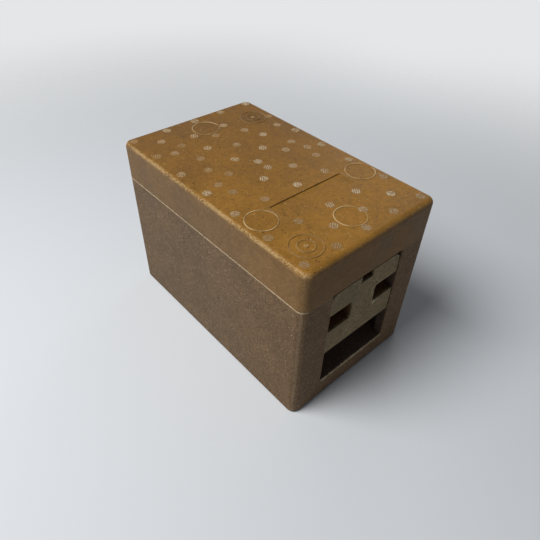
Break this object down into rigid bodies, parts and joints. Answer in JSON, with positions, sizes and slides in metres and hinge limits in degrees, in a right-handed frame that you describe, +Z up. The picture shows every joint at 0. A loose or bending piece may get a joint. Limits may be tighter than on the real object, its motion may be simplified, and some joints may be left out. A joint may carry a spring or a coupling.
{
  "type": "nuc box",
  "caption": "Small moulded-foam mating nuc with a lift-off lid, a two-position sliding entrance door, top bars with starter strips and a feeder inside.",
  "frame": {"origin": "under the middle of the base, on the surface that the box stands on", "axes": "+Z up, +Y from the entrance to the rear, +X to the right of someone facing the entrance"},
  "size_m": [0.154, 0.25, 0.1714],
  "materials": {
    "body_foam": "matte",
    "lid_foam": "satin",
    "door_foam": "matte",
    "grid_plastic": "satin",
    "clear_sheet": "gloss",
    "bar_wood": "matte",
    "wax": "satin",
    "feeder_plastic": "satin"
  },
  "bodies": {
    "hive": {"hive_body": "body_foam", "vent_grid": "grid_plastic", "cover_sheet": "clear_sheet", "top_bar_1": "bar_wood", "top_bar_2": "bar_wood", "top_bar_3": "bar_wood", "top_bar_4": "bar_wood", "starter_strip_1": "wax", "starter_strip_2": "wax", "starter_strip_3": "wax", "starter_strip_4": "wax", "feeder_trough": "feeder_plastic", "feeder_excluder": "feeder_plastic"},
    "roof": {"lid": "lid_foam"},
    "door": {"entrance_door": "door_foam"},
    "float": {"feeder_float": "feeder_plastic"}
  },
  "joints": [
    {"name": "lid_lift", "type": "slide", "parent": "hive", "child": "roof", "axis": [0, 0, 1], "range_m": [0, 0.15]},
    {"name": "door_slide", "type": "slide", "parent": "hive", "child": "door", "axis": [0, 0, 1], "range_m": [-0.038, 0]},
    {"name": "float_rise", "type": "slide", "parent": "hive", "child": "float", "axis": [0, 0, 1], "range_m": [0, 0.07]}
  ]
}
